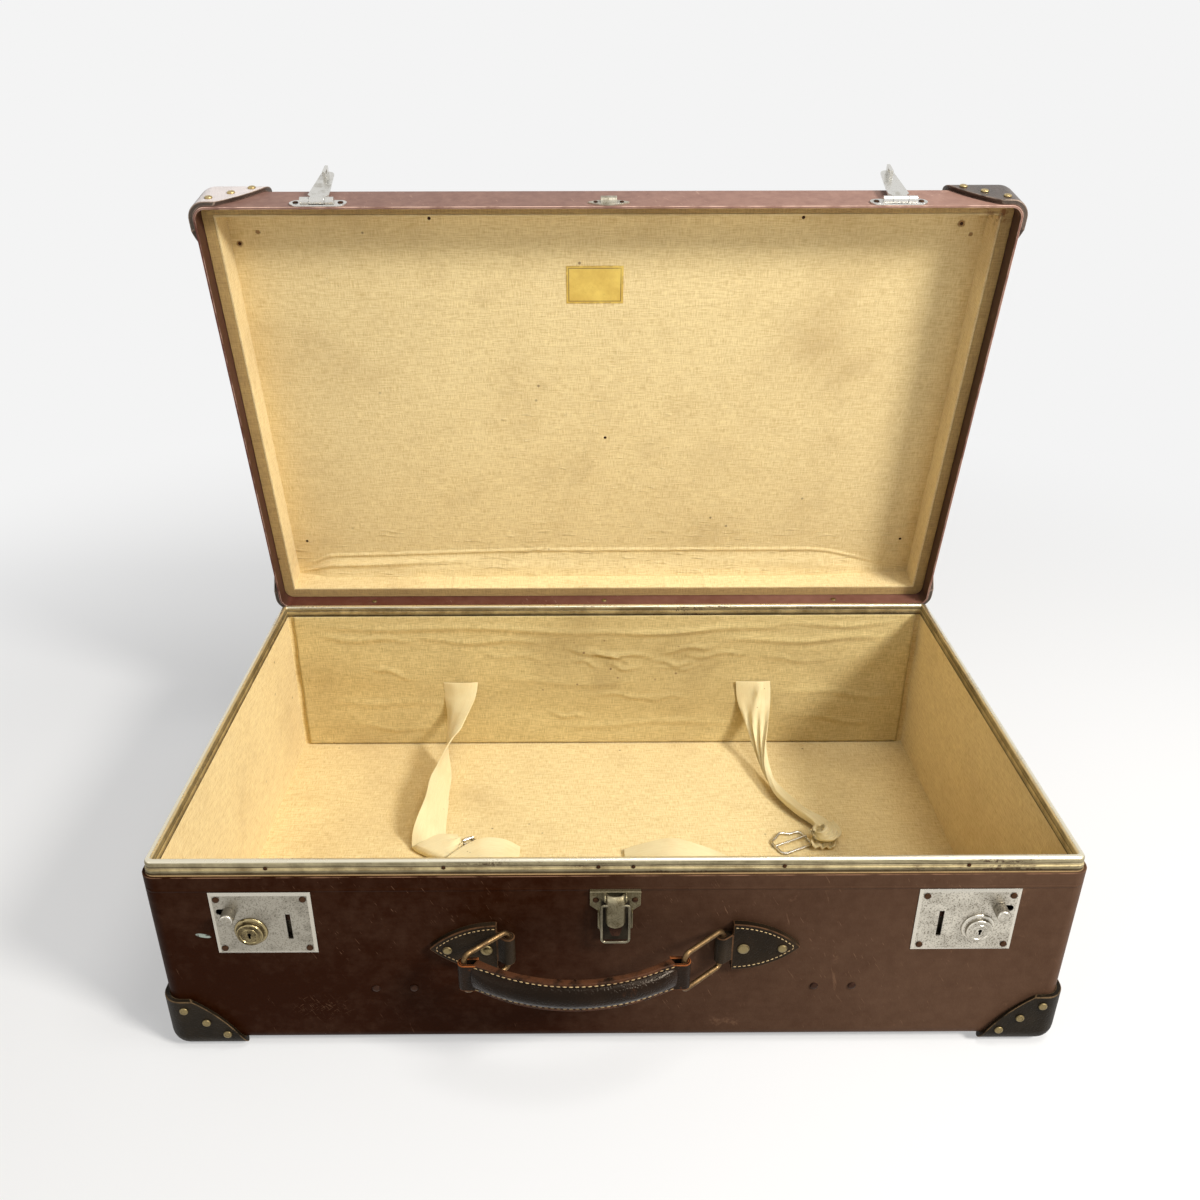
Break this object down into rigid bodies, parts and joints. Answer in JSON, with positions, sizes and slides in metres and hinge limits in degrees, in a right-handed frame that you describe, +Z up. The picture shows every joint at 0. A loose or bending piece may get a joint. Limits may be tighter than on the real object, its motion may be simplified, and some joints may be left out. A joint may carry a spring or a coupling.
{
  "type": "suitcase",
  "caption": "Vintage fibre suitcase standing open: lined base with metal rim and straps, hinged lid, hasp locks, draw catch, leather corner caps and a swinging leather handle.",
  "frame": {"origin": "middle of the base shell's flat underside; the leather caps stand 4.1 mm below it", "axes": "+X to the right along the case's width, +Y from the front to the rear hinges, +Z up"},
  "size_m": [0.6776, 0.5169, 0.5936],
  "materials": {
    "fibre": "dark brown vulcanised fibre, worn and scuffed",
    "frame_wood": "timber frame covered in khaki cloth",
    "rim_metal": "dull plated channel with rust spots",
    "lining": "cream linen over card",
    "label": "plain yellowed paper",
    "cap_leather": "dark pressed leather, worn at the edges",
    "rivet_brass": "tarnished brass",
    "hinge_steel": "dull plated steel",
    "lock_nickel": "tarnished nickel plate",
    "lock_brass": "worn brass",
    "hasp_nickel": "bright nickel plate",
    "catch_steel": "yellowed plated steel",
    "rust_rivet": "rusty steel",
    "handle_leather": "near-black polished leather",
    "loop_brass": "brass wire",
    "strap_cotton": "cream cotton webbing",
    "buckle_steel": "bright steel wire"
  },
  "bodies": {
    "base": {"base_shell": "fibre", "base_frame": "frame_wood", "rim_channel": "rim_metal", "base_lining": "lining", "rear_wall_cloth": "lining", "base_corner_caps": "cap_leather", "base_cap_rivets": "rivet_brass", "hinge_base_leaves": "hinge_steel", "hinge_pins": "hinge_steel", "hinge_base_rivets": "hinge_steel", "lock_plate_left": "lock_nickel", "lock_plate_right": "lock_nickel", "lock_case_left": "lock_nickel", "lock_case_right": "lock_nickel", "lock_cylinder_left": "lock_brass", "lock_cylinder_right": "lock_nickel", "lock_rivets": "rust_rivet", "catch_plate": "catch_steel", "catch_pin": "hinge_steel", "catch_rivets": "rust_rivet", "chape_left": "handle_leather", "chape_right": "handle_leather", "chape_rivets": "rivet_brass", "rear_strap_left": "strap_cotton", "rear_strap_right": "strap_cotton", "front_strap_left": "strap_cotton", "front_strap_right": "strap_cotton", "strap_ring_left": "buckle_steel", "strap_buckle_right": "buckle_steel", "strap_rivets": "rust_rivet"},
    "lid": {"lid_shell": "fibre", "lid_frame": "frame_wood", "lid_lining": "lining", "lid_label": "label", "lid_corner_caps": "cap_leather", "lid_cap_rivets": "rivet_brass", "hinge_lid_leaves": "hinge_steel", "hinge_lid_rivets": "hinge_steel", "hasp_plate_left": "hasp_nickel", "hasp_plate_right": "hasp_nickel", "hasp_pins": "hinge_steel", "hasp_rivets": "rust_rivet", "lid_keeper": "catch_steel", "keeper_rivets": "rust_rivet"},
    "left_hasp": {"hasp_left": "hasp_nickel"},
    "right_hasp": {"hasp_right": "hasp_nickel"},
    "left_bolt": {"lock_bolt_left": "lock_nickel"},
    "right_bolt": {"lock_bolt_right": "lock_nickel"},
    "left_plug": {"lock_plug_left": "lock_brass"},
    "right_plug": {"lock_plug_right": "lock_brass"},
    "lever": {"catch_lever": "catch_steel"},
    "bail": {"catch_bail": "catch_steel"},
    "left_loop": {"handle_loop_left": "loop_brass"},
    "right_loop": {"handle_loop_right": "loop_brass"},
    "grip": {"handle_grip": "handle_leather"}
  },
  "joints": [
    {"name": "lid_hinge", "type": "hinge", "parent": "base", "child": "lid", "pos_m": [0, 0.2075, 0.16025], "axis": [1, 0, 0], "range_deg": [-102, 78]},
    {"name": "left_hasp_hinge", "type": "hinge", "parent": "lid", "child": "left_hasp", "pos_m": [-0.2325, 0.12588, 0.56707], "axis": [1, 0, 0], "range_deg": [0, 176]},
    {"name": "right_hasp_hinge", "type": "hinge", "parent": "lid", "child": "right_hasp", "pos_m": [0.2325, 0.12588, 0.56707], "axis": [1, 0, 0], "range_deg": [0, 176]},
    {"name": "left_bolt_slide", "type": "slide", "parent": "base", "child": "left_bolt", "axis": [-1, 0, 0], "range_m": [0, 0.007], "stiffness_N_per_m": 150, "springref_m": -0.004},
    {"name": "right_bolt_slide", "type": "slide", "parent": "base", "child": "right_bolt", "axis": [1, 0, 0], "range_m": [0, 0.007], "stiffness_N_per_m": 150, "springref_m": -0.004},
    {"name": "left_key_plug", "type": "hinge", "parent": "base", "child": "left_plug", "pos_m": [-0.26, -0.20525, 0.1125], "axis": [0, -1, 0], "range_deg": [0, 90]},
    {"name": "right_key_plug", "type": "hinge", "parent": "base", "child": "right_plug", "pos_m": [0.26, -0.20525, 0.1125], "axis": [0, -1, 0], "range_deg": [0, 90]},
    {"name": "catch_lever_hinge", "type": "hinge", "parent": "base", "child": "lever", "pos_m": [0, -0.2091, 0.1445], "axis": [-1, 0, 0], "range_deg": [0, 50]},
    {"name": "catch_bail_hinge", "type": "hinge", "parent": "lever", "child": "bail", "pos_m": [0, -0.2119, 0.14], "axis": [-1, 0, 0], "range_deg": [0, 130]},
    {"name": "left_loop_hinge", "type": "hinge", "parent": "base", "child": "left_loop", "pos_m": [-0.0765, -0.20895, 0.098], "axis": [0, 0, 1], "range_deg": [-20, 120]},
    {"name": "right_loop_hinge", "type": "hinge", "parent": "base", "child": "right_loop", "pos_m": [0.0765, -0.20895, 0.098], "axis": [0, 0, 1], "range_deg": [-20, 120]},
    {"name": "grip_pivot", "type": "hinge", "parent": "left_loop", "child": "grip", "pos_m": [-0.10561, -0.23338, 0.098], "axis": [0, 0, 1], "range_deg": [-120, 20]}
  ],
  "couplings": [
    {"joint": "right_loop_hinge", "follows": "left_loop_hinge", "ratio": 1},
    {"joint": "grip_pivot", "follows": "left_loop_hinge", "ratio": -1}
  ]
}
